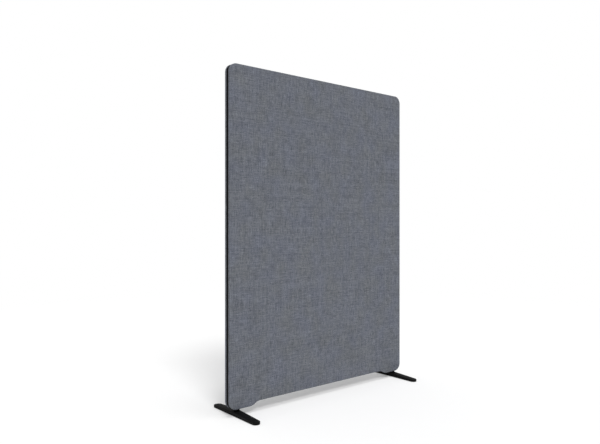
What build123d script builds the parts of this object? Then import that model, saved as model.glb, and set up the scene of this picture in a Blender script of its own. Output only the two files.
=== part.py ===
from build123d import *
from math import radians, sqrt, tan
import os

# Acoustic floor screen: a padded, cloth-covered wooden frame on two bar feet.
# X runs along the panel, Y through its thickness with the front at -Y, and Z up.
# The origin is on the floor, under the middle of the panel. Sizes are in millimetres.

# Panel outline
panel_width = 1200
panel_top = 1650  # top edge above the floor
corner_radius = 40  # all four outer corners
leg_height = 32  # underside of the legs above the floor
arch_height = 50  # raised lower edge above the floor
leg_length = 117  # flat underside of a leg, from the end of the panel
leg_curve_length = 58  # double curve from a leg up to the raised edge

# Layers of the panel, from the middle outwards
frame_thickness = 25
pad_thickness = 6
cover_thickness = 1.2
cover_edge_radius = 2  # rounding of the cloth round the face
layer_ease = 0.3  # room left between cloth, pad and frame

# Edge trim, a strip with a T section whose stem is pushed into a kerf
band_width = 16  # part of the trim that shows
band_recess = 0.2  # face of the trim below the cloth around it
flange_thickness = 2.2
flange_edge_chamfer = 0.5
stem_thickness = 1.8
stem_length = 9.5  # from the back of the flange
barb_height = 0.5  # how far the barb at its end stands out on each side
barb_width = 1.2  # along the stem
kerf_ease = 0.1  # between the barb and the sides of the kerf
kerf_end_room = 1  # between the stem and the floor of the kerf
hem_width = 5  # cloth that lies under the trim

# Wooden frame
member_width = 60  # stiles and rails
top_block_size = 120  # corner block along each outer edge
leg_block_height = 120  # above the underside of the leg
leg_block_margin = 15  # from the double curve to the end of the block

# Loose tongues, one across each joint of the frame
tongue_width = 30
tongue_thickness = 8
tongue_length = 40
tongue_fit = 0.1  # on each side
tongue_end_room = 1

# Absorber slabs
slab_ease = 0.5  # round the slabs, in their bays and under the pads

# Foot bars and glides
foot_inset = 49  # middle of a foot from the end of the panel
bar_length = 357
bar_width = 40
bar_middle_thickness = 20  # under the upright
bar_end_thickness = 10.5  # the top slopes down to this at both ends
bar_edge_chamfer = 1
glide_radius = 14
glide_thickness = 1  # foot bar above the floor
glide_edge_chamfer = 0.3

# Foot uprights
upright_width = 34  # along the panel
upright_corner_chamfer = 1.5
upright_fit = 0.3  # between an upright and the trim and cloth beside it

# Screw and threaded insert of each foot
screw_radius = 4
screw_head_radius = 8
screw_head_angle = 90
screw_clearance = 0.4  # radial, in the bar and the upright
screw_head_gap = 0.1  # between the head and its countersink
screw_reserve = 5  # from the end of a screw to the end of its insert
socket_width = 5  # across the flats
socket_depth = 3
insert_radius = 6
insert_length = 15
insert_fit = 0.1  # radial, between wood and insert
thread_fit = 0.05  # radial, between insert and screw

overrun = 5  # how far a cutting shape runs past what it cuts

# Places that follow from the sizes above
half_width = panel_width / 2
half_frame = frame_thickness / 2
half_band = band_width / 2
face_depth = half_frame + pad_thickness + layer_ease + cover_thickness
layer_inset = cover_thickness + layer_ease  # outline of the wooden frame inside the cloth
chamfer_share = 2 - sqrt(2)  # of a round's radius, for a chamfer that touches it

flange_inset = band_recess + flange_thickness
hem_inset = flange_inset + layer_ease
hem_floor_inset = hem_inset + cover_thickness
groove_inset = hem_floor_inset + layer_ease
fold_depth = half_band + layer_ease
hem_wall_depth = fold_depth + cover_thickness
groove_depth = hem_wall_depth + layer_ease
hem_end_depth = fold_depth - hem_width
stem_end_inset = flange_inset + stem_length
barb_depth = stem_thickness / 2 + barb_height
kerf_depth = barb_depth + kerf_ease
kerf_inset = stem_end_inset + kerf_end_room

member_inset = layer_inset + member_width
member_middle_inset = (kerf_inset + member_inset) / 2
stile_reach = half_width - member_inset
top_block_inset = layer_inset + top_block_size
leg_block_inset = leg_length + leg_curve_length + leg_block_margin
leg_block_top = leg_height + layer_inset + leg_block_height
bottom_rail_top = arch_height + member_inset
middle_height = (panel_top + arch_height) / 2

foot_place = half_width - foot_inset
bar_top = glide_thickness + bar_middle_thickness
bar_end_top = glide_thickness + bar_end_thickness
glide_place = bar_length / 2 - bar_width / 2
upright_top = leg_height + groove_inset
insert_top = upright_top + insert_length
screw_bottom = glide_thickness + screw_head_gap
screw_top = insert_top - screw_reserve
screw_head_height = (screw_head_radius - screw_radius) / tan(radians(screw_head_angle / 2))

front = Axis((0, 0, 0), (0, -1, 0))

os.makedirs("parts", exist_ok=True)


def save(piece, name):
    """Label a finished piece and write it."""
    piece.part.label = name
    export_step(piece.part, f"parts/{name}.step")


def save_left_and_right(piece, name):
    """Write a piece of the left half and its mirror image."""
    with BuildPart() as twin:
        mirror(piece.part, about=Plane.YZ)
    save(piece, f"left_{name}")
    save(twin, f"right_{name}")


def save_front_and_rear(piece, name):
    """Write a piece of the front half and its mirror image."""
    with BuildPart() as twin:
        mirror(piece.part, about=Plane.XZ)
    save(piece, f"front_{name}")
    save(twin, f"rear_{name}")


def panel_outline(inset=0, mode=Mode.ADD):
    """Draw the panel's outline in the open sketch, moved inwards by inset."""
    curve_start = half_width - leg_length
    curve_middle = curve_start - leg_curve_length / 2
    curve_end = curve_start - leg_curve_length
    half_rise_height = (leg_height + arch_height) / 2
    with BuildLine() as edge:
        Line((0, arch_height), (curve_end, arch_height))
        TangentArc((curve_end, arch_height), (curve_middle, half_rise_height), tangent=(1, 0))
        TangentArc(
            (curve_start, leg_height), (curve_middle, half_rise_height), tangent=(-1, 0)
        )
        FilletPolyline(
            (curve_start, leg_height),
            (half_width, leg_height),
            (half_width, panel_top),
            (0, panel_top),
            radius=corner_radius,
        )
        mirror(about=Plane.YZ)
    shape = make_face(edge.edges(), mode=Mode.PRIVATE)
    if inset:
        shape = offset(shape, amount=-inset, mode=Mode.PRIVATE)
    add(shape, mode=mode)


def edge_strip(outer_inset, inner_inset, depth):
    """A strip that follows the panel's outline, as deep on each side of the middle."""
    with BuildPart() as strip:
        with BuildSketch(Plane.XZ):
            panel_outline(outer_inset)
            panel_outline(inner_inset, mode=Mode.SUBTRACT)
        extrude(amount=depth, both=True)
    return strip.part


# Room for the foot uprights through the trim and the hems
with BuildPart() as upright_room:
    with BuildSketch(Plane.XY):
        with GridLocations(foot_place * 2, 0, 2, 1):
            Rectangle(upright_width + upright_fit * 2, band_width + upright_fit * 2)
    extrude(amount=leg_height + kerf_inset)

# Groove and kerf round the edge of the wooden frame
with BuildPart() as edge_groove:
    add(edge_strip(-overrun, groove_inset, groove_depth))
    add(edge_strip(-overrun, kerf_inset, kerf_depth))

# Joints of the frame: each plane lies in a joint, with its normal along the tongue
stile_joint_x = member_middle_inset - half_width
rail_joint_x = top_block_inset - half_width
leg_joint_x = leg_block_inset - half_width
left_joints = [
    Plane((stile_joint_x, 0, panel_top - top_block_inset), x_dir=(1, 0, 0), z_dir=(0, 0, 1)),
    Plane((stile_joint_x, 0, leg_block_top), x_dir=(1, 0, 0), z_dir=(0, 0, 1)),
    Plane((rail_joint_x, 0, panel_top - member_middle_inset), x_dir=(0, 0, 1), z_dir=(1, 0, 0)),
    Plane((leg_joint_x, 0, arch_height + member_middle_inset), x_dir=(0, 0, 1), z_dir=(1, 0, 0)),
    Plane((-stile_reach, 0, middle_height), x_dir=(0, 0, 1), z_dir=(1, 0, 0)),
]


def tongues_in_joints(fit, end_room):
    """A flat bar across each joint of the frame, larger than a tongue by fit and end_room."""
    with BuildPart() as bars:
        for joint in left_joints:
            with BuildSketch(joint):
                Rectangle(tongue_width + fit * 2, tongue_thickness + fit * 2)
            extrude(amount=tongue_length / 2 + end_room, both=True)
        mirror(about=Plane.YZ)
    return bars.part


mortises = tongues_in_joints(tongue_fit, tongue_end_room)


def cut_groove_and_mortises():
    """Cut the trim's groove and the joints' mortises out of the frame piece that is open."""
    add(edge_groove.part, mode=Mode.SUBTRACT)
    add(mortises, mode=Mode.SUBTRACT)


# Loose tongues of the frame
with BuildPart() as frame_tongues:
    add(tongues_in_joints(0, 0))
save(frame_tongues, "frame_tongues")

# Stiles, between the top corner blocks and the leg blocks
stile_bottom = leg_block_top
stile_top = panel_top - top_block_inset
with BuildPart() as stile:
    with BuildSketch(Plane.XZ):
        with Locations((layer_inset - half_width, stile_bottom)):
            Rectangle(member_width, stile_top - stile_bottom, align=(Align.MIN, Align.MIN))
    extrude(amount=half_frame, both=True)
    cut_groove_and_mortises()
save_left_and_right(stile, "stile")

# Top rail, between the top corner blocks
with BuildPart() as top_rail:
    with BuildSketch(Plane.XZ):
        with Locations((0, panel_top - member_inset)):
            Rectangle(-rail_joint_x * 2, member_width, align=(Align.CENTER, Align.MIN))
    extrude(amount=half_frame, both=True)
    cut_groove_and_mortises()
save(top_rail, "top_rail")

# Middle rail, between the stiles
with BuildPart() as middle_rail:
    with BuildSketch(Plane.XZ):
        with Locations((0, middle_height)):
            Rectangle(stile_reach * 2, member_width)
    extrude(amount=half_frame, both=True)
    add(mortises, mode=Mode.SUBTRACT)
save(middle_rail, "middle_rail")

# Bottom rail, between the leg blocks
with BuildPart() as bottom_rail:
    with BuildSketch(Plane.XZ):
        with Locations((0, arch_height + layer_inset)):
            Rectangle(-leg_joint_x * 2, member_width, align=(Align.CENTER, Align.MIN))
    extrude(amount=half_frame, both=True)
    cut_groove_and_mortises()
save(bottom_rail, "bottom_rail")

# Corner blocks at the top, cut off aslant between stile and rail
top_block_corners = [
    (-half_width, panel_top),
    (rail_joint_x, panel_top),
    (rail_joint_x, panel_top - member_inset),
    (-stile_reach, stile_top),
    (-half_width, stile_top),
]
with BuildPart() as top_block:
    with BuildSketch(Plane.XZ):
        panel_outline(layer_inset)
        Polygon(*top_block_corners, align=None, mode=Mode.INTERSECT)
    extrude(amount=half_frame, both=True)
    cut_groove_and_mortises()
save_left_and_right(top_block, "top_corner_block")

# Leg blocks, which carry the lower corner, the leg and its double curve
leg_block_corners = [
    (-half_width, leg_height),
    (leg_joint_x, leg_height),
    (leg_joint_x, bottom_rail_top),
    (-stile_reach, leg_block_top),
    (-half_width, leg_block_top),
]
with BuildPart() as leg_block:
    with BuildSketch(Plane.XZ):
        panel_outline(layer_inset)
        Polygon(*leg_block_corners, align=None, mode=Mode.INTERSECT)
    extrude(amount=half_frame, both=True)
    cut_groove_and_mortises()
    with BuildSketch(Plane.XY.offset(upright_top)):
        with Locations((-foot_place, 0)):
            Circle(insert_radius + insert_fit)
    extrude(amount=insert_length + insert_fit, mode=Mode.SUBTRACT)
save_left_and_right(leg_block, "leg_block")

# Absorber slabs, which fill the two bays of the frame
slab_half_width = stile_reach - slab_ease
upper_slab_corners = [
    (-slab_half_width, middle_height + member_width / 2 + slab_ease),
    (slab_half_width, middle_height + member_width / 2 + slab_ease),
    (slab_half_width, stile_top - slab_ease),
    (-rail_joint_x - slab_ease, panel_top - member_inset - slab_ease),
    (rail_joint_x + slab_ease, panel_top - member_inset - slab_ease),
    (-slab_half_width, stile_top - slab_ease),
]
lower_slab_corners = [
    (-slab_half_width, middle_height - member_width / 2 - slab_ease),
    (-slab_half_width, leg_block_top + slab_ease),
    (leg_joint_x + slab_ease, bottom_rail_top + slab_ease),
    (-leg_joint_x - slab_ease, bottom_rail_top + slab_ease),
    (slab_half_width, leg_block_top + slab_ease),
    (slab_half_width, middle_height - member_width / 2 - slab_ease),
]
for name, corners in (("upper", upper_slab_corners), ("lower", lower_slab_corners)):
    with BuildPart() as absorber:
        with BuildSketch(Plane.XZ):
            Polygon(*corners, align=None)
        extrude(amount=half_frame - slab_ease, both=True)
    save(absorber, f"{name}_absorber")

# Pads over both sides of the frame, out to where the cloth begins to round
with BuildPart() as pad:
    with BuildSketch(Plane.XZ.offset(half_frame)):
        panel_outline(cover_edge_radius)
    extrude(amount=pad_thickness)
save_front_and_rear(pad, "pad")

# Cloth covers: face, turned edge, fold into the groove and hem under the trim
with BuildPart() as room_under_cover:
    with BuildSketch(Plane.XZ.offset(hem_wall_depth)):
        panel_outline(cover_thickness)
    extrude(amount=face_depth - cover_thickness - hem_wall_depth)
    chamfer(
        room_under_cover.faces().sort_by(front)[-1].edges(),
        (cover_edge_radius - cover_thickness) * chamfer_share,
    )
    with BuildSketch(Plane.XZ.offset(fold_depth)):
        panel_outline(hem_floor_inset)
    extrude(amount=cover_thickness)

with BuildPart() as cover:
    with BuildSketch(Plane.XZ.offset(fold_depth)):
        panel_outline()
    extrude(amount=face_depth - fold_depth)
    fillet(cover.faces().sort_by(front)[-1].edges(), cover_edge_radius)
    add(room_under_cover.part, mode=Mode.SUBTRACT)
    with BuildSketch(Plane.XZ.offset(hem_end_depth)):
        panel_outline(hem_inset)
        panel_outline(hem_floor_inset, mode=Mode.SUBTRACT)
    extrude(amount=fold_depth - hem_end_depth)
    add(upright_room.part, mode=Mode.SUBTRACT)
save_front_and_rear(cover, "cover")

# Edge trim: flange that shows, and a stem between the hems with its barb in the kerf
with BuildPart() as trim:
    add(edge_strip(band_recess, flange_inset, half_band))
    flange_faces = trim.faces().filter_by(Axis.Y)
    for face in flange_faces:
        chamfer(face.outer_wire().edges(), flange_edge_chamfer)
    add(edge_strip(flange_inset, stem_end_inset, stem_thickness / 2))
    add(edge_strip(stem_end_inset - barb_width, stem_end_inset, barb_depth))
    add(upright_room.part, mode=Mode.SUBTRACT)

# The feet divide the trim into a strip under the raised edge and one over the top
lower_strip, upper_strip = trim.solids().sort_by(Axis.Z)
for name, strip in (("lower", lower_strip), ("upper", upper_strip)):
    with BuildPart() as edge_trim:
        add(strip)
    save(edge_trim, f"{name}_edge_trim")

# Foot bars: flat under the upright, sloping down to the ends, with a countersunk screw hole
bar_side_profile = [
    (-bar_length / 2, glide_thickness),
    (bar_length / 2, glide_thickness),
    (bar_length / 2, bar_end_top),
    (half_band, bar_top),
    (-half_band, bar_top),
    (-bar_length / 2, bar_end_top),
]
with BuildPart() as foot_bar:
    with BuildSketch(Plane.XY.offset(glide_thickness)):
        with Locations((-foot_place, 0)):
            SlotOverall(bar_length, bar_width, rotation=90)
    extrude(amount=bar_middle_thickness)
    with BuildSketch(Plane.YZ.offset(-foot_place)):
        Polygon(*bar_side_profile, align=None)
    extrude(amount=bar_width / 2 + overrun, both=True, mode=Mode.INTERSECT)
    rims = foot_bar.edges().filter_by(Axis.Z, reverse=True).filter_by(Axis.X, reverse=True)
    chamfer(rims, bar_edge_chamfer)
    with Locations(Plane((-foot_place, 0, glide_thickness), z_dir=(0, 0, -1))):
        CounterSinkHole(
            screw_radius + screw_clearance,
            screw_head_radius + screw_head_gap * 2,
            counter_sink_angle=screw_head_angle,
        )
save_left_and_right(foot_bar, "foot_bar")

# Foot uprights, between the bars and the grooves of the leg blocks
with BuildPart() as foot_upright:
    with BuildSketch(Plane.XY.offset(bar_top)):
        with Locations((-foot_place, 0)):
            Rectangle(upright_width, band_width)
            Circle(screw_radius + screw_clearance, mode=Mode.SUBTRACT)
    extrude(amount=upright_top - bar_top)
    chamfer(
        foot_upright.edges().filter_by(Axis.Z).filter_by(GeomType.LINE), upright_corner_chamfer
    )
save_left_and_right(foot_upright, "foot_upright")

# Countersunk screw of each foot, driven from below
with BuildPart() as screw:
    with BuildSketch(Plane.XZ):
        with BuildLine():
            Polyline(
                (0, screw_bottom),
                (screw_head_radius, screw_bottom),
                (screw_radius, screw_bottom + screw_head_height),
                (screw_radius, screw_top),
                (0, screw_top),
                close=True,
            )
        make_face()
    revolve(axis=Axis.Z)
    with BuildSketch(Plane.XY.offset(screw_bottom)):
        RegularPolygon(socket_width / 2, 6, major_radius=False)
    extrude(amount=socket_depth, mode=Mode.SUBTRACT)

with BuildPart() as foot_screws:
    with GridLocations(foot_place * 2, 0, 2, 1):
        add(screw.part)
save(foot_screws, "foot_screws")

# Threaded inserts in the leg blocks
with BuildPart() as threaded_inserts:
    with BuildSketch(Plane.XY.offset(upright_top)):
        with GridLocations(foot_place * 2, 0, 2, 1):
            Circle(insert_radius)
            Circle(screw_radius + thread_fit, mode=Mode.SUBTRACT)
    extrude(amount=insert_length)
save(threaded_inserts, "threaded_inserts")

# Glides, a disc stuck under each end of a foot bar
with BuildPart() as foot_glides:
    with BuildSketch():
        with GridLocations(foot_place * 2, glide_place * 2, 2, 2):
            Circle(glide_radius)
    extrude(amount=glide_thickness)
    chamfer(foot_glides.faces().group_by(Axis.Z)[0].edges(), glide_edge_chamfer)
save(foot_glides, "foot_glides")
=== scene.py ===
import bmesh
import bpy
import math
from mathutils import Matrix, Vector, noise
from mathutils.geometry import delaunay_2d_cdt


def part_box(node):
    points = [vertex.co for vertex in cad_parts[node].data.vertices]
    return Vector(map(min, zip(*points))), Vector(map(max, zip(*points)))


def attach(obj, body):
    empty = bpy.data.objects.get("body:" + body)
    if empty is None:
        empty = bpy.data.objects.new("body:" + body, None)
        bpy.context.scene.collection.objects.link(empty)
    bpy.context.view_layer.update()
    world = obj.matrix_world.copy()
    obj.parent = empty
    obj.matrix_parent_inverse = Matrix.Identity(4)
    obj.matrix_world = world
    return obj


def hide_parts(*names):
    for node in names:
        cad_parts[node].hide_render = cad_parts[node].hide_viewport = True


# An acoustic floor screen: cloth stretched over pads on a wooden frame, hemmed under a black
# edge trim, on two flat bar feet. Metres; X along the panel, the front at -Y, Z up.

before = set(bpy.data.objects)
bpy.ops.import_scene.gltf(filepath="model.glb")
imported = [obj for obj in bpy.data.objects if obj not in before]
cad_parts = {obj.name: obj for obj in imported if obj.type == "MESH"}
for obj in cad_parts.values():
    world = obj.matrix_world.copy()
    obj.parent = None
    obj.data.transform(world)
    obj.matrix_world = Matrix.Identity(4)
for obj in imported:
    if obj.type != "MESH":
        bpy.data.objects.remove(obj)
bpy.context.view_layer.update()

mm = 0.001
tolerance = 0.001 * mm
quarter_turn = math.pi / 2

# Panel outline, with the places that the solids give
cover_low, cover_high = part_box("front_cover")
half_width = cover_high.x
panel_top = cover_high.z
leg_bottom = cover_low.z
face_depth = -cover_low.y
arch_height = 50 * mm
leg_length = 117 * mm
leg_curve_length = 58 * mm
corner_radius = 40 * mm
corner_steps = 24
curve_steps = 10
edge_pitch = 20 * mm
face_pitch = 20 * mm

# Cloth, from its face round the edge and into the groove
cloth_thickness = 1.2 * mm
cover_edge_radius = 2 * mm
cover_edge_steps = 6
edge_support = 2.2 * mm  # ring below the rounded edge
fold_support = 2.4 * mm  # ring above the fold
fold_radius = 1 * mm
fold_steps = 4
fold_depth = 8.3 * mm
hem_inset = 2.7 * mm
hem_turn = 0.3 * mm
hem_end_depth = 3.3 * mm
hem_slack = 0.1 * mm  # past the fold's depth that still counts as hem
hem_opening_margin = 3 * mm  # on each side of an upright

# Pleats of the turned edge round the corners
gather_height = 0.16 * mm
gather_run = 4 * mm
gather_count = 6
straight_limit = 0.01  # of an inward direction that counts as level or upright

# Pressing of the felt against the held cloth, as far as the felt can swell
felt_pressure = 0.03
felt_swell = 1 * mm
press_damping = 10
press_quality = 3
press_steps = 20
ripple_length = 160 * mm
ripple_share = 0.3

# Edge trim
band_recess = 0.2 * mm
band_half_width = 8 * mm
band_rounding = 0.7 * mm
band_round_steps = 4
band_dome = 0.12 * mm
dome_steps = 3
dome_share = 0.75  # of the dome that its even slope would reach at the flange's edge
flange_inset = 2.4 * mm
flange_chamfer = 0.3 * mm
stem_half_thickness = 0.9 * mm
stem_end_inset = 11.9 * mm
barb_half_thickness = 1.4 * mm
barb_length = 1.2 * mm
lower_strip_reach = 20 * mm  # above the raised edge

# Pads and absorber slabs
pad_face_depth = -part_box("front_pad")[0].y
frame_half_thickness = 12.5 * mm
pad_rounding = 1 * mm
pad_round_steps = 4
pad_pitch = 40 * mm
felt_wave_height = 0.1 * mm
felt_wave_length = 45 * mm
felt_wave_seed = 3  # a place in the noise
slab_rounding = 2 * mm
slab_round_steps = 3
corner_decimals = 5  # of a metre, to tell a slab's corners apart

# Feet
foot_low, foot_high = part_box("left_foot_bar")
foot_place = -(foot_low.x + foot_high.x) / 2
foot_end_top = 11.5 * mm
foot_rounding = 1.2 * mm
foot_round_steps = 4
foot_end_steps = 28
crease_angle = 30  # degrees
sink_radius = 8.2 * mm
hole_radius = 4.4 * mm
hole_depth = 12 * mm
hole_steps = 36
upright_low, upright_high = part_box("left_foot_upright")
upright_half_width = (upright_high.x - upright_low.x) / 2
upright_half_depth = upright_high.y
upright_ease = 0.3 * mm


def clamp(value):
    """A value kept between 0 and 1."""
    return min(1, max(0, value))


def object_of(bm, name):
    """Turn a bmesh into an object of the scene, shaded smooth."""
    mesh = bpy.data.meshes.new(name)
    bm.to_mesh(mesh)
    bm.free()
    mesh.polygons.foreach_set("use_smooth", [True] * len(mesh.polygons))
    made = bpy.data.objects.new(name, mesh)
    bpy.context.scene.collection.objects.link(made)
    return made


def stand_for(piece, node):
    """Let a piece ride on the part in place of a node."""
    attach(piece, "root")
    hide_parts(node)


# Panel outline as columns: each is a point of the outline and its inward direction, in X and Z


def arc_columns(centre, radius, start, end, steps, inward):
    """Columns along an arc; inward is 1 where the panel lies on the side of the centre."""
    found = []
    for step in range(steps + 1):
        angle = start + (end - start) * step / steps
        out = Vector((math.cos(angle), math.sin(angle)))
        found.append((centre + out * radius, out * -inward))
    return found


def line_columns(start, end, inward):
    """Columns between the ends of a straight run, without the ends themselves."""
    steps = max(2, round((end - start).length / edge_pitch))
    return [(start.lerp(end, step / steps), inward) for step in range(1, steps)]


def outline_columns():
    """The whole outline, counter-clockwise seen from the front, from the middle of the bottom."""
    rise = arch_height - leg_bottom
    curve_radius = (leg_curve_length ** 2 / 4 + rise ** 2 / 4) / rise
    turn = math.asin(leg_curve_length / 2 / curve_radius)
    curve_start = half_width - leg_length
    curve_end = curve_start - leg_curve_length
    corner_x = half_width - corner_radius
    up, down, left = Vector((0, 1)), Vector((0, -1)), Vector((-1, 0))
    half = [(Vector((0, arch_height)), up)]
    half += line_columns(Vector((0, arch_height)), Vector((curve_end, arch_height)), up)
    half += arc_columns(
        Vector((curve_end, arch_height - curve_radius)),
        curve_radius, quarter_turn, quarter_turn - turn, curve_steps, -1,
    )
    half += arc_columns(
        Vector((curve_start, leg_bottom + curve_radius)),
        curve_radius, -quarter_turn - turn, -quarter_turn, curve_steps, 1,
    )[1:]
    half += line_columns(Vector((curve_start, leg_bottom)), Vector((corner_x, leg_bottom)), up)
    half += arc_columns(
        Vector((corner_x, leg_bottom + corner_radius)),
        corner_radius, -quarter_turn, 0, corner_steps, 1,
    )
    half += line_columns(
        Vector((half_width, leg_bottom + corner_radius)),
        Vector((half_width, panel_top - corner_radius)),
        left,
    )
    half += arc_columns(
        Vector((corner_x, panel_top - corner_radius)),
        corner_radius, 0, quarter_turn, corner_steps, 1,
    )
    half += line_columns(Vector((corner_x, panel_top)), Vector((0, panel_top)), down)
    half.append((Vector((0, panel_top)), down))
    other = [(Vector((-p.x, p.y)), Vector((-n.x, n.y))) for p, n in half[1:-1]]
    return half + other[::-1]


columns = outline_columns()


def edge_distance(place):
    """About how far a point of the XZ plane lies inside the panel's outline."""
    x, z = abs(place.x), place.y
    curve_middle = half_width - leg_length - leg_curve_length / 2
    leg_share = clamp((x - curve_middle) / leg_curve_length + 1 / 2)
    bottom = arch_height + (leg_bottom - arch_height) * leg_share
    return min(half_width - x, panel_top - z, z - bottom)


def gather(inward):
    """How far the cloth draws in at a column: small pleats round the corners."""
    if abs(inward.x) < straight_limit or abs(inward.y) < straight_limit:
        return 0
    turned = math.atan2(abs(inward.y), abs(inward.x)) / quarter_turn
    swell = math.sin(turned * math.pi)
    return gather_height * swell * (1 - math.cos(turned * gather_count * 2 * math.pi)) / 2


def arc_profile(centre, radius, start, end, steps):
    """Points of a profile along an arc, as inset and depth, with the angles in degrees."""
    points = []
    for step in range(steps + 1):
        angle = math.radians(start + (end - start) * step / steps)
        points.append((centre[0] + radius * math.cos(angle), centre[1] + radius * math.sin(angle)))
    return points


def ring_of(bm, inset, depth, drawn=0):
    """A ring of vertices along the outline, with the pleats drawn in by a share."""
    ring = []
    for point, inward in columns:
        place = point + inward * (inset + gather(inward) * drawn)
        ring.append(bm.verts.new((place.x, -depth, place.y)))
    return ring


def bridge(bm, ring, other):
    """Quads between two closed rings with as many vertices."""
    count = len(ring)
    for i in range(count):
        j = (i + 1) % count
        bm.faces.new((ring[i], ring[j], other[j], other[i]))


def fill(bm, ring, pitch, depth, wave_height=0):
    """Fill a ring in the XZ plane with triangles on a grid; waves of a height sink into it."""
    loop = [Vector((v.co.x, v.co.z)) for v in ring]
    low = Vector((min(p.x for p in loop), min(p.y for p in loop)))
    high = Vector((max(p.x for p in loop), max(p.y for p in loop)))
    inside = []
    for i in range(1, round((high.x - low.x) / pitch)):
        for j in range(1, round((high.y - low.y) / pitch)):
            place = Vector((low.x + i * pitch + (j % 2) * pitch / 2, low.y + j * pitch))
            if edge_distance(place) > edge_distance(loop[0]) + pitch / 2:
                inside.append(place)
    count = len(loop)
    edges = [(i, (i + 1) % count) for i in range(count)]
    points, _, faces, origins, _, _ = delaunay_2d_cdt(loop + inside, edges, [], 1, tolerance)
    verts = []
    for point, origin in zip(points, origins):
        if origin[0] < count:
            verts.append(ring[origin[0]])
        else:
            wave = noise.noise(Vector((point.x, point.y, felt_wave_seed)) / felt_wave_length)
            sunk = wave_height * (1 - wave)
            verts.append(bm.verts.new((point.x, sunk - depth, point.y)))
    for face in faces:
        bm.faces.new([verts[i] for i in face])


def turn_to_rear(bm):
    """Mirror a front piece to the rear."""
    for vert in bm.verts:
        vert.co.y = -vert.co.y


# Cloth covers


def cover_profile():
    """The cloth from the edge of the face round to the end of the hem, as inset and depth."""
    rounding_end = face_depth - cover_edge_radius
    return [
        *arc_profile(
            (cover_edge_radius, rounding_end), cover_edge_radius, 90, 180, cover_edge_steps
        ),
        (0, rounding_end - edge_support),
        (0, fold_depth + fold_support),
        *arc_profile((fold_radius, fold_depth + fold_radius), fold_radius, 180, 270, fold_steps),
        (hem_inset - hem_turn, fold_depth),
        (hem_inset, fold_depth - hem_turn),
        (hem_inset, hem_end_depth),
    ]


def open_hem(bm):
    """Take the hem away where the uprights pass."""
    reach = upright_half_width + hem_opening_margin
    cut = []
    for face in bm.faces:
        centre = face.calc_center_median()
        in_hem = centre.y > -(fold_depth + hem_slack) and centre.z < arch_height
        if in_hem and abs(abs(centre.x) - foot_place) < reach:
            cut.append(face)
    bmesh.ops.delete(bm, geom=cut, context="FACES")


def face_outwards(bm, side):
    """Turn the faces of an open sheet so that the largest looks away from the panel."""
    bm.normal_update()
    bmesh.ops.recalc_face_normals(bm, faces=bm.faces[:])
    largest = max(bm.faces, key=lambda f: f.calc_area())
    if largest.normal.y * side > 0:
        bmesh.ops.reverse_faces(bm, faces=bm.faces[:])


def press_outward(made, side):
    """Simulate how the felt presses the held cloth outwards, and keep the crown it takes."""
    made.vertex_groups.new(name="held")
    press = made.modifiers.new("press", "CLOTH")
    press.settings.vertex_group_mass = "held"
    press.settings.use_pressure = True
    press.settings.uniform_pressure_force = felt_pressure
    press.settings.effector_weights.gravity = 0
    press.settings.air_damping = press_damping
    press.settings.quality = press_quality
    for step in range(1, press_steps + 1):
        bpy.context.scene.frame_set(step)
    pressed = made.evaluated_get(bpy.context.evaluated_depsgraph_get()).data
    for vert, moved in zip(made.data.vertices, pressed.vertices):
        rise = (vert.co.y - moved.co.y) * side
        lift = felt_swell * math.tanh(rise / felt_swell)
        wave = noise.noise(Vector((vert.co.x, vert.co.z, 0)) / ripple_length)
        vert.co.y -= side * lift * (1 + ripple_share * wave)
    made.modifiers.remove(press)
    bpy.context.scene.frame_set(1)


def make_cover(name, node, side, grain):
    """One cover; side is 1 for the front and -1 for the rear.

    Its attribute cloth_place holds where each point lies on the flat cloth, and its grain.
    """
    bm = bmesh.new()
    cloth_place = bm.verts.layers.float_vector.new("cloth_place")
    held = bm.verts.layers.deform.verify()
    profile = cover_profile()
    rings = []
    run = 0
    for last, (inset, depth) in zip(profile[:1] + profile, profile):
        run += math.dist(last, (inset, depth))
        drawn = clamp((face_depth - cover_edge_radius - depth) / gather_run)
        ring = ring_of(bm, inset, depth, drawn)
        for vert, (point, inward) in zip(ring, columns):
            flat = point + inward * (cover_edge_radius - run)
            vert[cloth_place] = (flat.x, flat.y, grain)
            vert[held][0] = 1
        if rings:
            bridge(bm, rings[-1], ring)
        rings.append(ring)
    edge_verts = set(bm.verts)
    fill(bm, rings[0], face_pitch, face_depth)
    for vert in bm.verts:
        if vert not in edge_verts:
            vert[cloth_place] = (vert.co.x, vert.co.z, grain)
    open_hem(bm)
    if side < 0:
        turn_to_rear(bm)
    face_outwards(bm, side)
    made = object_of(bm, name)
    press_outward(made, side)
    shell = made.modifiers.new("thickness", "SOLIDIFY")
    shell.thickness = cloth_thickness
    shell.offset = -1
    stand_for(made, node)
    return made


# Place of each cloth in the noise, so that the two differ
front_grain, rear_grain = 0, 4
front_cloth = make_cover("front_cloth", "front_cover", 1, front_grain)
rear_cloth = make_cover("rear_cloth", "rear_cover", -1, rear_grain)

# Edge trim


def trim_profile():
    """The T section with a domed flange, as a closed loop of inset and depth."""
    dome = []
    for step in range(dome_steps):
        share = step / dome_steps
        dome.append((band_recess + band_dome * dome_share * share, band_half_width * share))
    rounding = arc_profile(
        (band_recess + band_dome + band_rounding, band_half_width - band_rounding),
        band_rounding, 180, 90, band_round_steps,
    )
    half = [
        *dome,
        *rounding,
        (flange_inset - flange_chamfer, band_half_width),
        (flange_inset, band_half_width - flange_chamfer),
        (flange_inset, stem_half_thickness),
        (stem_end_inset - barb_length, stem_half_thickness),
        (stem_end_inset - barb_length, barb_half_thickness),
        (stem_end_inset, stem_half_thickness),
        (stem_end_inset, 0),
    ]
    return half + [(inset, -depth) for inset, depth in half[1:-1]][::-1]


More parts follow.
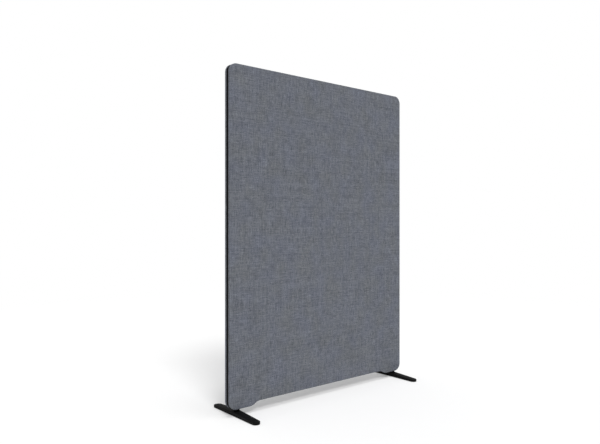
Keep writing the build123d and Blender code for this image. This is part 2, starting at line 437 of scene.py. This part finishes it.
def open_at_uprights(bm):
    """Cut the closed band at both sides of each upright and drop what lies between."""
    reach = upright_half_width + upright_ease
    for sign in (-1, 1):
        for edge in (-1, 1):
            geometry = set()
            for face in bm.faces:
                centre = face.calc_center_median()
                if centre.z < arch_height + corner_radius and centre.x * sign > 0:
                    geometry.update((face, *face.edges, *face.verts))
            bmesh.ops.bisect_plane(
                bm,
                geom=list(geometry),
                dist=tolerance,
                plane_co=(sign * foot_place + edge * reach, 0, 0),
                plane_no=(1, 0, 0),
            )
    between = []
    for face in bm.faces:
        centre = face.calc_center_median()
        if centre.z < leg_bottom + corner_radius and abs(abs(centre.x) - foot_place) < reach:
            between.append(face)
    bmesh.ops.delete(bm, geom=between, context="FACES")
    rims = [edge for edge in bm.edges if edge.is_boundary]
    bmesh.ops.holes_fill(bm, edges=rims, sides=0)


def in_lower_strip(face):
    """Whether a face of the band lies under the panel between the feet."""
    centre = face.calc_center_median()
    return abs(centre.x) < foot_place and centre.z < arch_height + lower_strip_reach


def make_trim():
    """The closed band, opened at the feet and parted into its two strips."""
    band = bmesh.new()
    rings = [ring_of(band, inset, depth) for inset, depth in trim_profile()]
    for ring, other in zip(rings, rings[1:] + rings[:1]):
        bridge(band, ring, other)
    bmesh.ops.recalc_face_normals(band, faces=band.faces[:])
    open_at_uprights(band)
    strips = []
    for name, node, is_lower in (
        ("edge_band_over_top", "upper_edge_trim", False),
        ("edge_band_under_panel", "lower_edge_trim", True),
    ):
        strip = band.copy()
        others = [face for face in strip.faces if in_lower_strip(face) != is_lower]
        bmesh.ops.delete(strip, geom=others, context="FACES")
        made = object_of(strip, name)
        stand_for(made, node)
        strips.append(made)
    band.free()
    return strips


edge_bands = make_trim()

# Pads and absorber slabs, felt with rounded edges


def make_pad(name, node, side):
    """A thin pad with rounded edges between the frame and the cloth."""
    bm = bmesh.new()
    flat_inset = cover_edge_radius + pad_rounding
    profile = arc_profile(
        (flat_inset, frame_half_thickness + pad_rounding), pad_rounding, 270, 180, pad_round_steps
    )
    profile += arc_profile(
        (flat_inset, pad_face_depth - pad_rounding), pad_rounding, 180, 90, pad_round_steps
    )
    rings = [ring_of(bm, flat_inset, frame_half_thickness)]
    for inset, depth in profile[1:]:
        rings.append(ring_of(bm, inset, depth))
        bridge(bm, rings[-2], rings[-1])
    fill(bm, rings[-1], pad_pitch, pad_face_depth, felt_wave_height)
    fill(bm, rings[0], pad_pitch, frame_half_thickness)
    if side < 0:
        turn_to_rear(bm)
    bmesh.ops.recalc_face_normals(bm, faces=bm.faces[:])
    made = object_of(bm, name)
    stand_for(made, node)
    return made


def make_slab(name, node):
    """An absorber slab: the solid's own outline, extruded again with rounded edges."""
    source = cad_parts[node].data
    depth = max(v.co.y for v in source.vertices)
    flat = [v.co for v in source.vertices if v.co.y > 0]
    middle = sum(flat, Vector()) / len(flat)
    corners = {(round(p.x, corner_decimals), round(p.z, corner_decimals)) for p in flat}
    ordered = sorted(corners, key=lambda c: math.atan2(c[1] - middle.z, c[0] - middle.x))
    bm = bmesh.new()
    front = bm.faces.new([bm.verts.new((x, -depth, z)) for x, z in ordered])
    pushed = bmesh.ops.extrude_face_region(bm, geom=[front])
    moved = [v for v in pushed["geom"] if isinstance(v, bmesh.types.BMVert)]
    bmesh.ops.translate(bm, verts=moved, vec=(0, depth * 2, 0))
    bmesh.ops.bevel(
        bm,
        geom=bm.edges[:],
        offset=slab_rounding,
        segments=slab_round_steps,
        profile=0.5,
        affect="EDGES",
    )
    bmesh.ops.triangulate(bm, faces=bm.faces[:])
    bmesh.ops.recalc_face_normals(bm, faces=bm.faces[:])
    made = object_of(bm, name)
    stand_for(made, node)
    return made


pads = [make_pad("front_felt", "front_pad", 1), make_pad("rear_felt", "rear_pad", -1)]
slabs = [
    make_slab("upper_felt_slab", "upper_absorber"),
    make_slab("lower_felt_slab", "lower_absorber"),
]

# Feet


def bar_rows():
    """Half widths of a foot bar, with round ends, in rows along Y."""
    radius = (foot_high.x - foot_low.x) / 2
    straight = foot_high.y - radius
    rows = []
    for step in range(foot_end_steps + 1):
        angle = quarter_turn * (1 - step / foot_end_steps)
        rows.append((straight + radius * math.sin(angle), radius * math.cos(angle)))
    steps = round((straight - upright_half_depth) / edge_pitch)
    for step in range(1, steps + 1):
        rows.append((straight + (upright_half_depth - straight) * step / steps, radius))
    return rows + [(-y, half) for y, half in rows[::-1]]


def bar_top(y):
    """Top of a foot bar: flat under the upright, sloping down to both ends."""
    share = max(0, abs(y) - upright_half_depth) / (foot_high.y - upright_half_depth)
    return foot_high.z + (foot_end_top - foot_high.z) * share


def rim_levels():
    """Levels of a bar's rounded rims: inset, distance from its side, and whether that is low."""
    angles = [quarter_turn * step / foot_round_steps for step in range(foot_round_steps + 1)]
    levels = []
    for angle in angles:
        inset, rise = 1 - math.sin(angle), 1 - math.cos(angle)
        levels.append((inset * foot_rounding, rise * foot_rounding, True))
    for angle in angles:
        inset, drop = 1 - math.cos(angle), 1 - math.sin(angle)
        levels.append((inset * foot_rounding, drop * foot_rounding, False))
    return levels


def rounded_bar(name, place_x):
    """A foot bar with rounded rims and the countersunk hole from below."""
    rows = bar_rows()
    outline = [Vector((half, y)) for y, half in rows]
    outline += [Vector((-half, y)) for y, half in rows[-2:0:-1]]
    inward = []
    for i in range(len(outline)):
        along = (outline[(i + 1) % len(outline)] - outline[i - 1]).normalized()
        inward.append(Vector((along.y, -along.x)))
    bm = bmesh.new()
    rings = []
    for inset, distance, is_low in rim_levels():
        ring = []
        for point, into in zip(outline, inward):
            place = point + into * inset
            height = foot_low.z + distance if is_low else bar_top(place.y) - distance
            ring.append(bm.verts.new((place.x + place_x, place.y, height)))
        if rings:
            bridge(bm, rings[-1], ring)
        rings.append(ring)
    close_top(bm, rings[-1], len(rows) - 1)
    drill(bm, rings[0], place_x)
    bmesh.ops.recalc_face_normals(bm, faces=bm.faces[:])
    return object_of(bm, name)


def close_top(bm, rim, last):
    """Close a bar's top with strips across it; last is the row at its far end."""
    bm.faces.new((rim[0], rim[1], rim[-1]))
    for row in range(1, last - 1):
        bm.faces.new((rim[row], rim[row + 1], rim[-row - 1], rim[-row]))
    bm.faces.new((rim[last - 1], rim[last], rim[last + 1]))


def drill(bm, rim, place_x):
    """Close the underside inside its rim, leaving the countersunk hole."""
    sink_depth = sink_radius - hole_radius
    rings = []
    for radius, depth in ((sink_radius, 0), (hole_radius, sink_depth), (hole_radius, hole_depth)):
        ring = []
        for step in range(hole_steps):
            angle = math.pi * 2 * step / hole_steps
            x, y = place_x + radius * math.cos(angle), radius * math.sin(angle)
            ring.append(bm.verts.new((x, y, foot_low.z + depth)))
        if rings:
            bridge(bm, rings[-1], ring)
        rings.append(ring)
    bm.faces.new(rings[-1])
    edges = []
    for ring in (rim, rings[0]):
        edges += [bm.edges.get((ring[i - 1], ring[i])) for i in range(len(ring))]
    bmesh.ops.triangle_fill(bm, use_beauty=True, use_dissolve=False, edges=edges)


def sharpen(made):
    """Keep edges crisp where faces meet at more than the crease angle."""
    bm = bmesh.new()
    bm.from_mesh(made.data)
    for edge in bm.edges:
        if len(edge.link_faces) == 2:
            edge.smooth = edge.calc_face_angle() < math.radians(crease_angle)
    bm.to_mesh(made.data)
    bm.free()


feet = []
for hand, sign in (("left", -1), ("right", 1)):
    bar = rounded_bar(f"{hand}_foot_plate", sign * foot_place)
    stand_for(bar, f"{hand}_foot_bar")
    sharpen(bar)
    feet.append(bar)

# Nodes of a material. A value is a number, a colour or another node's output.

middle_range = (0.3, 0.7)  # where most of a noise lies

# Fineness of a noise: its detail and its roughness
even = (0, 0.5)
soft = (1, 0.5)
plain = (2, 0.5)
drawn_out = (3, 0.5)
grainy = (3, 0.6)
patchy = (4, 0.6)
dusty = (5, 0.65)
porous = (2, 0.7)
tangled = (4, 0.7)


def new_material(name):
    """A material with its tree and its Principled shader."""
    material = bpy.data.materials.new(name)
    material.use_nodes = True
    tree = material.node_tree
    return material, tree, tree.nodes["Principled BSDF"]


def put(tree, socket, value):
    """Link an output to a socket, or set the socket where the value is a number or colour."""
    if isinstance(value, bpy.types.NodeSocket):
        tree.links.new(value, socket)
    elif isinstance(value, (int, float)):
        socket.default_value = value
    else:
        socket.default_value = tuple(value)


def calc(tree, operation, first, second=0):
    """A Math node on two values."""
    node = tree.nodes.new("ShaderNodeMath")
    node.operation = operation
    put(tree, node.inputs[0], first)
    put(tree, node.inputs[1], second)
    return node.outputs[0]


def plus(tree, total, value, weight):
    """A total with a value added by its weight."""
    return calc(tree, "ADD", total, calc(tree, "MULTIPLY", value, weight))


def centred(tree, value):
    """A value between 0 and 1, moved to lie round zero."""
    return calc(tree, "SUBTRACT", value, 1 / 2)


def spread(tree, value, source, target=(0, 1)):
    """Map a value from one range to another, clamped."""
    node = tree.nodes.new("ShaderNodeMapRange")
    put(tree, node.inputs["Value"], value)
    for socket, number in zip(node.inputs[1:5], (*source, *target)):
        socket.default_value = number
    return node.outputs[0]


def mixed(tree, factor, first, second):
    """A value between first and second."""
    node = tree.nodes.new("ShaderNodeMix")
    put(tree, node.inputs[0], factor)
    put(tree, node.inputs[2], first)
    put(tree, node.inputs[3], second)
    return node.outputs[0]


def mixed_colour(tree, factor, first, second, blend="MIX"):
    """A colour between first and second, or the two multiplied."""
    node = tree.nodes.new("ShaderNodeMix")
    node.data_type = "RGBA"
    node.blend_type = blend
    put(tree, node.inputs[0], factor)
    put(tree, node.inputs[6], first)
    put(tree, node.inputs[7], second)
    return node.outputs[2]


def grey(value):
    """A neutral colour."""
    return (value, value, value, 1)


def combine(tree, x, y, z):
    """A vector from three values."""
    node = tree.nodes.new("ShaderNodeCombineXYZ")
    for socket, value in zip(node.inputs, (x, y, z)):
        put(tree, socket, value)
    return node.outputs[0]


def object_place(tree):
    """The place on the object in metres."""
    return tree.nodes.new("ShaderNodeTexCoord").outputs["Object"]


def in_cells(tree, place, sizes, seed=0):
    """A place counted in cells of the given sizes along X, Y and Z, from a seed."""
    node = tree.nodes.new("ShaderNodeVectorMath")
    node.operation = "MULTIPLY_ADD"
    put(tree, node.inputs[0], place)
    node.inputs[1].default_value = [1 / size for size in sizes]
    node.inputs[2].default_value = (seed, seed, seed)
    return node.outputs[0]


def clouds(tree, vector, fineness, distortion=0):
    """Noise from 0 to 1 at one cell per unit of the vector."""
    node = tree.nodes.new("ShaderNodeTexNoise")
    put(tree, node.inputs["Vector"], vector)
    node.inputs["Scale"].default_value = 1
    detail, rough = fineness
    node.inputs["Detail"].default_value = detail
    node.inputs["Roughness"].default_value = rough
    put(tree, node.inputs["Distortion"], distortion)
    return node.outputs[0]


def bump(tree, shader, height, distance, strength):
    """Give a shader relief from a height between 0 and 1."""
    node = tree.nodes.new("ShaderNodeBump")
    node.inputs["Strength"].default_value = strength
    node.inputs["Distance"].default_value = distance
    put(tree, node.inputs["Height"], height)
    tree.links.new(node.outputs[0], shader.inputs["Normal"])


# Cloth

yarn_pitch = 1.5 * mm
# How far yarns are moved sideways: size of the cells across and along them, seed and reach
yarn_wanders = [
    (8 * mm, 20 * mm, 2, 1.6 * mm),
    (3 * mm, 30 * mm, 4, 1.2 * mm),
    (0.5 * mm, 0.8 * mm, 6, 0.9 * mm),
]
yarn_step = 7.31  # in the noise, from a yarn to the next
weft_shift = 11  # in the noise, from the warp to the weft
crossing_range = (-0.06, 0.06)  # of the waves' product, where the top yarn changes
pillow_side_power = 1.2
pillow_end_power = 0.5
# Tones along each yarn: their length and weight
yarn_tones = [(38 * mm, 1.1), (5 * mm, 1.5)]
tuft_weight = 0.2
fibre_length = 2.4 * mm
fibre_width = 0.22 * mm
fibre_seed = 1
fibre_weight = 0.9

# Marks on the cloth. Each has its width, height and seed, its weight in the tone and in the
# relief, and whether it is sparse: few strong marks instead of many even ones.
slub_width = 2.4 * mm
slub_length = 26 * mm
streak_length = 42 * mm
stripe_width = 5 * mm
stripe_length = 350 * mm
drift_width = 70 * mm
drift_height = 80 * mm
cloth_marks = [
    (slub_width, slub_length, 20, 12, 1, True),
    (slub_length, slub_width, 30, 12, 1, True),
    (slub_width, streak_length, 25, 0.68, 0.2, False),
    (streak_length, slub_width, 35, 0.6, 0.2, False),
    (stripe_width, stripe_length, 50, 0.38, 0, False),
    (stripe_length, stripe_width, 60, 0.4, 0, False),
    (drift_width, drift_height, 70, 0.16, 0, False),
]

cloth_dark = (0.0981, 0.1063, 0.1248, 1)
cloth_light = (0.2735, 0.2908, 0.3336, 1)
cloth_warm = (1.008, 1, 0.957, 1)
cloth_cool = (0.992, 1, 1.043, 1)
hue_width = 95 * mm
hue_height = 120 * mm
hue_seed = 8
gap_range = (0, 0.9)
gap_shade_range = (0.6, 1)
cloth_rough_range = (0.86, 0.98)
cloth_sheen = 0.03
cloth_sheen_rough = 0.5
pillow_relief = 0.7
fibre_relief = 0.2
cloth_relief = 0.45 * mm
cloth_relief_strength = 0.8


def on_cloth(tree, flat, width, height, seed, fineness=even):
    """Clouds over the flat cloth, with cells as wide and high as given."""
    return clouds(tree, in_cells(tree, flat, (width, height, 1), seed), fineness)


def yarn_counts(tree, flat, across, along):
    """Count warp and weft yarns over the cloth, which wander, vary in width and are frayed."""
    warp_wander = weft_wander = 0
    for across_cell, along_cell, seed, reach in yarn_wanders:
        for_warp = on_cloth(tree, flat, across_cell, along_cell, seed)
        for_weft = on_cloth(tree, flat, along_cell, across_cell, seed + 1)
        warp_wander = plus(tree, warp_wander, for_warp, reach)
        weft_wander = plus(tree, weft_wander, for_weft, reach)
    warp_count = calc(tree, "DIVIDE", calc(tree, "ADD", across, warp_wander), yarn_pitch)
    weft_count = calc(tree, "DIVIDE", calc(tree, "ADD", along, weft_wander), yarn_pitch)
    return warp_count, weft_count


def weave(tree, warp_count, weft_count):
    """Where the warp lies on top, from the sign of two waves, and the pillow of the top yarn."""
    warp_wave = calc(tree, "SINE", calc(tree, "MULTIPLY", warp_count, math.pi))
    weft_wave = calc(tree, "SINE", calc(tree, "MULTIPLY", weft_count, math.pi))
    warp_on_top = spread(tree, calc(tree, "MULTIPLY", warp_wave, weft_wave), crossing_range)
    warp_round = calc(tree, "ABSOLUTE", warp_wave)
    weft_round = calc(tree, "ABSOLUTE", weft_wave)
    sides = mixed(tree, warp_on_top, weft_round, warp_round)
    ends = mixed(tree, warp_on_top, warp_round, weft_round)
    pillow = calc(
        tree, "MULTIPLY",
        calc(tree, "POWER", sides, pillow_side_power),
        calc(tree, "POWER", ends, pillow_end_power),
    )
    return warp_on_top, pillow


def cloth_material():
    """Melange woven cloth: over and under yarns, each with its own tone, slubs and fibres."""
    material, tree, shader = new_material("melange_cloth")
    source = tree.nodes.new("ShaderNodeAttribute")
    source.attribute_name = "cloth_place"
    flat = source.outputs["Vector"]
    parts = tree.nodes.new("ShaderNodeSeparateXYZ")
    tree.links.new(flat, parts.inputs[0])
    across, along, grain = parts.outputs
    warp_count, weft_count = yarn_counts(tree, flat, across, along)
    warp_on_top, pillow = weave(tree, warp_count, weft_count)

    # Each yarn has its own tone, which drifts along it, and short flecks of its own
    warp_line = calc(tree, "MULTIPLY", calc(tree, "FLOOR", warp_count), yarn_step)
    weft_line = calc(tree, "MULTIPLY", calc(tree, "FLOOR", weft_count), yarn_step)
    weft_grain = calc(tree, "ADD", grain, weft_shift)
    tone = 1 / 2
    for length, weight in yarn_tones:
        warp_along = calc(tree, "DIVIDE", along, length)
        weft_along = calc(tree, "DIVIDE", across, length)
        warp_tone = clouds(tree, combine(tree, warp_line, warp_along, grain), soft)
        weft_tone = clouds(tree, combine(tree, weft_along, weft_line, weft_grain), soft)
        yarn_tone = centred(tree, mixed(tree, warp_on_top, weft_tone, warp_tone))
        tone = plus(tree, tone, yarn_tone, weight)

    # Each crossing shows a tuft of fibres of its own
    tuft = tree.nodes.new("ShaderNodeTexWhiteNoise")
    put(tree, tuft.inputs["Vector"], combine(tree, warp_line, weft_line, grain))
    tone = plus(tree, tone, centred(tree, tuft.outputs["Value"]), tuft_weight)
    fibres = mixed(
        tree,
        warp_on_top,
        on_cloth(tree, flat, fibre_length, fibre_width, fibre_seed, plain),
        on_cloth(tree, flat, fibre_width, fibre_length, fibre_seed, plain),
    )
    tone = plus(tree, tone, centred(tree, fibres), fibre_weight)

    # Slubs and streaks along both yarns, stripes of thicker yarn and a slow drift
    relief = calc(tree, "MULTIPLY", pillow, pillow_relief)
    relief = plus(tree, relief, fibres, fibre_relief)
    for width, height, seed, weight, raised, sparse in cloth_marks:
        mark = centred(tree, on_cloth(tree, flat, width, height, seed))
        if sparse:
            mark = calc(tree, "MULTIPLY", mark, calc(tree, "MULTIPLY", mark, mark))
        tone = plus(tree, tone, mark, weight)
        relief = plus(tree, relief, mark, raised)
    colour = mixed_colour(tree, tone, cloth_dark, cloth_light)

    # Slight change of hue from patch to patch, and shade between the yarns
    patches = on_cloth(tree, flat, hue_width, hue_height, hue_seed, soft)
    hue = spread(tree, patches, middle_range)
    tint = mixed_colour(tree, hue, cloth_warm, cloth_cool)
    shade = spread(tree, pillow, gap_range, gap_shade_range)
    colour = mixed_colour(tree, 1, colour, tint, "MULTIPLY")
    colour = mixed_colour(tree, 1, colour, combine(tree, shade, shade, shade), "MULTIPLY")
    tree.links.new(colour, shader.inputs["Base Color"])
    put(tree, shader.inputs["Roughness"], spread(tree, fibres, middle_range, cloth_rough_range))
    shader.inputs["Specular IOR Level"].default_value = 0
    shader.inputs["Sheen Weight"].default_value = cloth_sheen
    shader.inputs["Sheen Roughness"].default_value = cloth_sheen_rough
    bump(tree, shader, relief, cloth_relief, cloth_relief_strength)
    return material


# Plastic and powder coat

scuff_size = 35 * mm
scuff_range = (0.35, 0.75)
scuff_tone = 1.7
scuff_rough = 0.12
plastic_specular = 0.035
plastic_relief = 0.08 * mm
plastic_relief_strength = 0.5

coat_grain_size = 0.9 * mm
coat_grain_weight = 0.7
coat_peel_size = 4 * mm
coat_peel_weight = 0.5
dust_size = 22 * mm
dust_range = (0.42, 0.72)
dust_tone = 1.9
dust_rough = 0.14
coat_specular = 0.1
coat_relief = 0.1 * mm
coat_relief_strength = 0.5


def plastic_material(name, base, rough, grain_size):
    """Matt moulded plastic with a fine grain and a few dull scuffs."""
    material, tree, shader = new_material(name)
    place = object_place(tree)
    grain = clouds(tree, in_cells(tree, place, [grain_size] * 3), grainy)
    scuffs = clouds(tree, in_cells(tree, place, [scuff_size] * 3), patchy)
    scuffed = spread(tree, scuffs, scuff_range)
    colour = mixed_colour(tree, scuffed, grey(base), grey(base * scuff_tone))
    put(tree, shader.inputs["Base Color"], colour)
    rough_range = (rough, rough + scuff_rough)
    put(tree, shader.inputs["Roughness"], spread(tree, scuffs, middle_range, rough_range))
    shader.inputs["Specular IOR Level"].default_value = plastic_specular
    bump(tree, shader, grain, plastic_relief, plastic_relief_strength)
    return material


def coated_material(name, base, rough):
    """Fine-textured powder coat with an orange peel and patches of dust."""
    material, tree, shader = new_material(name)
    place = object_place(tree)
    grain = clouds(tree, in_cells(tree, place, [coat_grain_size] * 3), grainy)
    peel = clouds(tree, in_cells(tree, place, [coat_peel_size] * 3), plain)
    dust = clouds(tree, in_cells(tree, place, [dust_size] * 3), dusty)
    colour = mixed_colour(tree, spread(tree, dust, dust_range), grey(base), grey(base * dust_tone))
    put(tree, shader.inputs["Base Color"], colour)
    rough_range = (rough, rough + dust_rough)
    put(tree, shader.inputs["Roughness"], spread(tree, dust, middle_range, rough_range))
    shader.inputs["Specular IOR Level"].default_value = coat_specular
    relief = calc(tree, "MULTIPLY", grain, coat_grain_weight)
    relief = plus(tree, relief, peel, coat_peel_weight)
    bump(tree, shader, relief, coat_relief, coat_relief_strength)
    return material


# Felt

felt_cells = (1.2 * mm, 3 * mm, 5 * mm)
felt_tone_range = (0.35, 0.65)
felt_rough_range = (0.88, 1)
felt_specular = 0.1
felt_relief = 0.5 * mm
felt_relief_strength = 0.7


def felt_material(name, dark, light):
    """Pressed felt: tangled fibres in all directions."""
    material, tree, shader = new_material(name)
    place = object_place(tree)
    tangle = clouds(tree, in_cells(tree, place, felt_cells), tangled)
    cross = clouds(tree, in_cells(tree, place, felt_cells[::-1]), tangled)
    tone = calc(tree, "DIVIDE", calc(tree, "ADD", tangle, cross), 2)
    colour = mixed_colour(tree, spread(tree, tone, felt_tone_range), dark, light)
    put(tree, shader.inputs["Base Color"], colour)
    put(tree, shader.inputs["Roughness"], spread(tree, tone, middle_range, felt_rough_range))
    shader.inputs["Specular IOR Level"].default_value = felt_specular
    bump(tree, shader, tone, felt_relief, felt_relief_strength)
    return material


# Wood

ring_stretch = 30  # along the grain
ring_weight = 0.75
ring_bend = 2
bend_stretch = 6
pore_width = 0.5 * mm
pore_length = 12 * mm
pore_weight = 0.25
wood_tone_range = (0.38, 0.62)
wood_rough_range = (0.5, 0.72)
wood_relief = 0.15 * mm
wood_relief_strength = 0.4


def wood_material(name, dark, light, grain_axis, ring_pitch):
    """Planed wood: rings drawn out along the grain, with pores."""
    material, tree, shader = new_material(name)
    place = object_place(tree)
    ring_cells = [ring_pitch] * 3
    ring_cells[grain_axis] = ring_pitch * ring_stretch
    pore_cells = [pore_width] * 3
    pore_cells[grain_axis] = pore_length
    bend_cells = [size * bend_stretch for size in ring_cells]
    bend = clouds(tree, in_cells(tree, place, bend_cells), drawn_out)
    distortion = calc(tree, "MULTIPLY", bend, ring_bend)
    rings = clouds(tree, in_cells(tree, place, ring_cells), drawn_out, distortion)
    pores = clouds(tree, in_cells(tree, place, pore_cells), porous)
    tone = plus(tree, calc(tree, "MULTIPLY", rings, ring_weight), pores, pore_weight)
    colour = mixed_colour(tree, spread(tree, tone, wood_tone_range), dark, light)
    put(tree, shader.inputs["Base Color"], colour)
    put(tree, shader.inputs["Roughness"], spread(tree, tone, middle_range, wood_rough_range))
    bump(tree, shader, pores, wood_relief, wood_relief_strength)
    return material


# Metal

tool_mark_cells = (6 * mm, 6 * mm, 0.15 * mm)
stain_size = 3 * mm
stain_range = (0.35, 0.65)
stain_tone = 0.7
stain_rough = 0.15
metal_relief = 0.05 * mm
metal_relief_strength = 0.4


def metal_material(name, colour, rough, metallic):
    """Turned metal: fine rings of tool marks and a stained surface."""
    material, tree, shader = new_material(name)
    place = object_place(tree)
    marks = clouds(tree, in_cells(tree, place, tool_mark_cells), plain)
    stain = clouds(tree, in_cells(tree, place, [stain_size] * 3), patchy)
    stained = [part * stain_tone for part in colour[:3]] + [1]
    surface = mixed_colour(tree, spread(tree, stain, stain_range), stained, colour)
    put(tree, shader.inputs["Base Color"], surface)
    rough_range = (rough, rough + stain_rough)
    put(tree, shader.inputs["Roughness"], spread(tree, stain, middle_range, rough_range))
    shader.inputs["Metallic"].default_value = metallic
    bump(tree, shader, marks, metal_relief, metal_relief_strength)
    return material


def wear(piece, material):
    """Dress a piece in one material."""
    piece.data.materials.clear()
    piece.data.materials.append(material)


def wear_node(node, material):
    """Dress a CAD node that stays by way of its object's slots."""
    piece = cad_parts[node]
    for slot in piece.material_slots:
        slot.link = "OBJECT"
        slot.material = material


# Finish of each material
band_finish = {"base": 0.0035, "rough": 0.5, "grain_size": 0.6 * mm}
glide_finish = {"base": 0.02, "rough": 0.55, "grain_size": 0.8 * mm}
coat_finish = {"base": 0.003, "rough": 0.5}
pad_finish = {"dark": (0.5, 0.5, 0.48, 1), "light": (0.78, 0.78, 0.76, 1)}
slab_finish = {"dark": (0.2, 0.21, 0.22, 1), "light": (0.4, 0.41, 0.42, 1)}
pine_finish = {
    "dark": (0.42, 0.26, 0.12, 1), "light": (0.72, 0.54, 0.31, 1), "ring_pitch": 7 * mm
}
plywood_finish = {
    "dark": (0.5, 0.34, 0.18, 1), "light": (0.76, 0.6, 0.38, 1), "ring_pitch": 4 * mm
}
beech_finish = {
    "dark": (0.46, 0.28, 0.15, 1), "light": (0.66, 0.45, 0.27, 1), "ring_pitch": 3 * mm
}
zinc_finish = {"colour": (0.03, 0.03, 0.032, 1), "rough": 0.32, "metallic": 0.6}
brass_finish = {"colour": (0.62, 0.42, 0.16, 1), "rough": 0.28, "metallic": 1}
along_x, along_z = 0, 2

cloth = cloth_material()
band_plastic = plastic_material("band_plastic", **band_finish)
glide_plastic = plastic_material("glide_plastic", **glide_finish)
powder_coat = coated_material("powder_coat", **coat_finish)
pad_felt = felt_material("pad_felt", **pad_finish)
slab_felt = felt_material("slab_felt", **slab_finish)
upright_pine = wood_material("upright_pine", grain_axis=along_z, **pine_finish)
level_pine = wood_material("level_pine", grain_axis=along_x, **pine_finish)
plywood = wood_material("plywood", grain_axis=along_x, **plywood_finish)
beech = wood_material("beech", grain_axis=along_x, **beech_finish)
black_zinc = metal_material("black_zinc", **zinc_finish)
brass = metal_material("brass", **brass_finish)

for pieces, material in (
    ([front_cloth, rear_cloth], cloth),
    (edge_bands, band_plastic),
    (pads, pad_felt),
    (slabs, slab_felt),
    (feet, powder_coat),
):
    for piece in pieces:
        wear(piece, material)

for nodes, material in (
    (["left_foot_upright", "right_foot_upright"], powder_coat),
    (["left_stile", "right_stile"], upright_pine),
    (["top_rail", "middle_rail", "bottom_rail"], level_pine),
    (["left_top_corner_block", "right_top_corner_block"], plywood),
    (["left_leg_block", "right_leg_block"], plywood),
    (["frame_tongues"], beech),
    (["foot_screws"], black_zinc),
    (["threaded_inserts"], brass),
    (["foot_glides"], glide_plastic),
):
    for node in nodes:
        wear_node(node, material)

# Floor

floor_size = 60
floor_segments = 8
floor_tone = 0.8
floor_lift = 0.128
fade_range = (1.2, 4.5)  # from the middle of the part, where the floor turns to pure white


def seen_by_camera(tree):
    """1 for camera rays, which are to meet a white background."""
    return tree.nodes.new("ShaderNodeLightPath").outputs["Is Camera Ray"]


def floor_material():
    """Matt white studio floor, lifted a little and fading to pure white away from the part."""
    material = bpy.data.materials.new("studio_floor")
    material.use_nodes = True
    tree = material.node_tree
    tree.nodes.clear()
    seen = seen_by_camera(tree)
    diffuse = tree.nodes.new("ShaderNodeBsdfDiffuse")
    diffuse.inputs["Color"].default_value = grey(floor_tone)
    lift = tree.nodes.new("ShaderNodeEmission")
    put(tree, lift.inputs["Strength"], calc(tree, "MULTIPLY", seen, floor_lift))
    near = tree.nodes.new("ShaderNodeAddShader")
    tree.links.new(diffuse.outputs[0], near.inputs[0])
    tree.links.new(lift.outputs[0], near.inputs[1])
    away = tree.nodes.new("ShaderNodeVectorMath")
    away.operation = "LENGTH"
    tree.links.new(object_place(tree), away.inputs[0])
    fade = spread(tree, away.outputs["Value"], fade_range)
    white = tree.nodes.new("ShaderNodeEmission")
    surface = tree.nodes.new("ShaderNodeMixShader")
    put(tree, surface.inputs[0], calc(tree, "MULTIPLY", fade, seen))
    tree.links.new(near.outputs[0], surface.inputs[1])
    tree.links.new(white.outputs[0], surface.inputs[2])
    output = tree.nodes.new("ShaderNodeOutputMaterial")
    tree.links.new(surface.outputs[0], output.inputs["Surface"])
    return material


bm = bmesh.new()
bmesh.ops.create_grid(
    bm, x_segments=floor_segments, y_segments=floor_segments, size=floor_size / 2
)
floor = object_of(bm, "floor")
wear(floor, floor_material())

# Light: an even sky, a broad soft lamp from behind the camera and one overhead. A lamp's level is
# what it adds to the lit floor; its place is given in degrees, and so is the width of its disc.
sky_level = 0.45
lamps = [
    {"name": "front_lamp", "level": 0.371, "azimuth": -23.3, "elevation": 48.7, "width": 20.5},
    {"name": "overhead_lamp", "level": 0.319, "azimuth": 23.0, "elevation": 84.0, "width": 23.6},
]

world = bpy.data.worlds.new("studio")
bpy.context.scene.world = world
world.use_nodes = True
background = world.node_tree.nodes["Background"]
background.inputs["Color"].default_value = grey(1)
strength = spread(world.node_tree, seen_by_camera(world.node_tree), (0, 1), (sky_level, 1))
put(world.node_tree, background.inputs["Strength"], strength)


def hang_lamp(name, level, azimuth, elevation, width):
    """A distant disc of light that shines on the origin."""
    turned, raised = math.radians(azimuth), math.radians(elevation)
    toward = Vector((
        math.sin(turned) * math.cos(raised), -math.cos(turned) * math.cos(raised), math.sin(raised)
    ))
    light = bpy.data.lights.new(name, "SUN")
    light.energy = math.pi * level / toward.z
    light.angle = math.radians(width)
    lamp = bpy.data.objects.new(name, light)
    lamp.rotation_mode = "QUATERNION"
    lamp.rotation_quaternion = toward.to_track_quat("Z", "Y")
    bpy.context.scene.collection.objects.link(lamp)


for lamp in lamps:
    hang_lamp(**lamp)

# Camera, level and fitted to the photograph
camera_place = (-2086.05 * mm, -2295.67 * mm, 908.87 * mm)
camera_turn = -0.6986  # radians
focal_pixels = 583.488
photo_width = 600
sensor_width = 36.0

camera_data = bpy.data.cameras.new("camera")
camera_data.sensor_width = sensor_width
camera_data.lens = focal_pixels / photo_width * sensor_width
camera = bpy.data.objects.new("camera", camera_data)
camera.location = camera_place
camera.rotation_euler = (quarter_turn, 0, camera_turn)
bpy.context.scene.collection.objects.link(camera)
bpy.context.scene.camera = camera
bpy.context.scene.view_settings.view_transform = "Standard"
